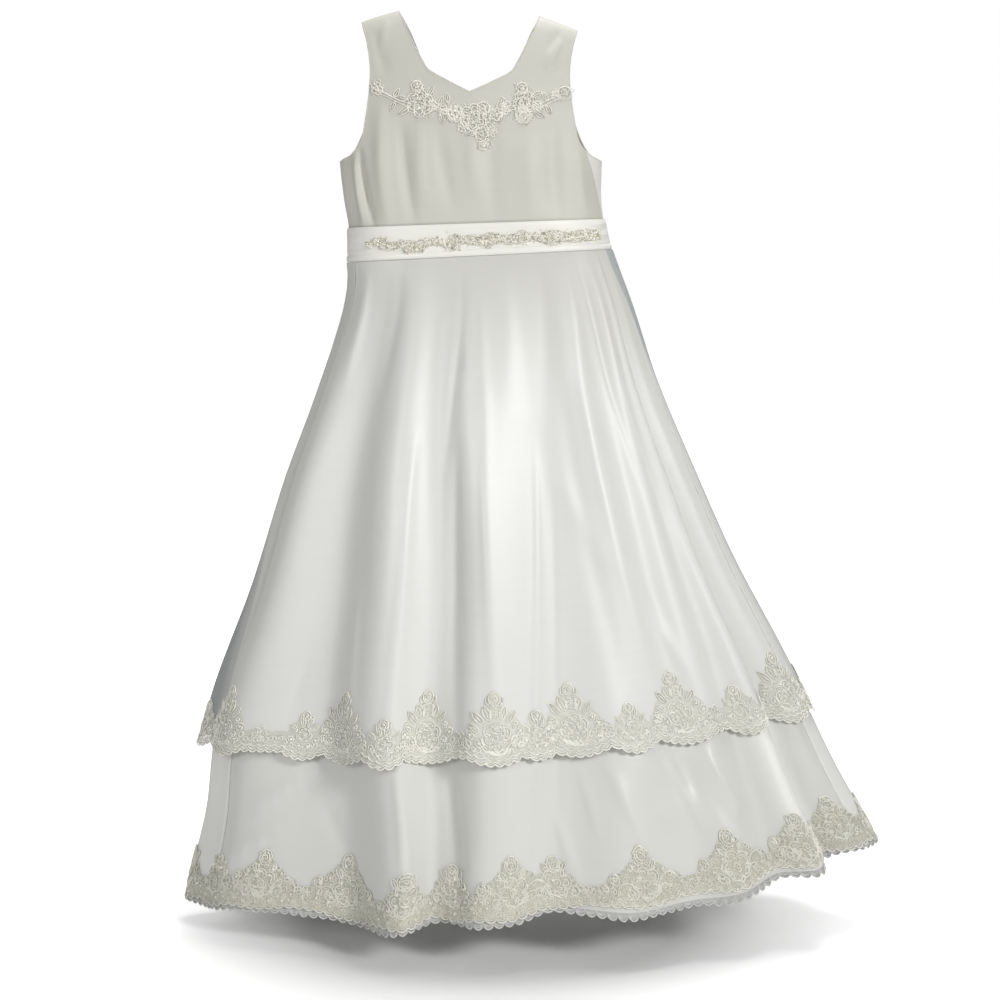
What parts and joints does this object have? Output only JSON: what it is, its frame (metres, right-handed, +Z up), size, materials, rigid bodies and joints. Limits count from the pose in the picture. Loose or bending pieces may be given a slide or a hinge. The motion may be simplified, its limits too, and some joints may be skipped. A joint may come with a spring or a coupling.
{
  "type": "communion dress",
  "caption": "Sleeveless white child's dress with a V neck, beaded belt, long satin skirt and a shorter lace-edged overskirt, hollow as worn.",
  "frame": {"origin": "between the shoulders, where a wearer holds the dress up: midway between the straps, level with the neck ends of the shoulder seams to within 7 mm", "axes": "+Z up, out of the neck; +X towards the wearer's left side; the dress faces -Y"},
  "size_m": [0.8369, 0.3616, 1.0553],
  "materials": {
    "bodice_cloth": "matt satin-backed cloth with a soft sheen",
    "skirt_satin": "smooth satin with a soft gloss",
    "organza": "sheer crisp organza over satin",
    "lace": "matt corded lace and beaded embroidery"
  },
  "bodies": {
    "root": {"bodice_front": "bodice_cloth", "bodice_back_left": "bodice_cloth", "bodice_back_right": "bodice_cloth", "belt_front": "skirt_satin", "belt_back_left": "skirt_satin", "belt_back_right": "skirt_satin", "skirt_front": "skirt_satin", "skirt_back_left": "skirt_satin", "skirt_back_right": "skirt_satin", "overskirt_front": "organza", "overskirt_back_left": "organza", "overskirt_back_right": "organza", "overskirt_lace_front": "lace", "overskirt_lace_back": "lace", "skirt_lace_front": "lace", "skirt_lace_back": "lace", "hem_edging_front": "lace", "hem_edging_back": "lace", "bodice_applique": "lace", "belt_applique": "lace", "button_1": "skirt_satin", "button_2": "skirt_satin", "button_3": "skirt_satin", "button_4": "skirt_satin", "button_5": "skirt_satin"}
  },
  "joints": []
}
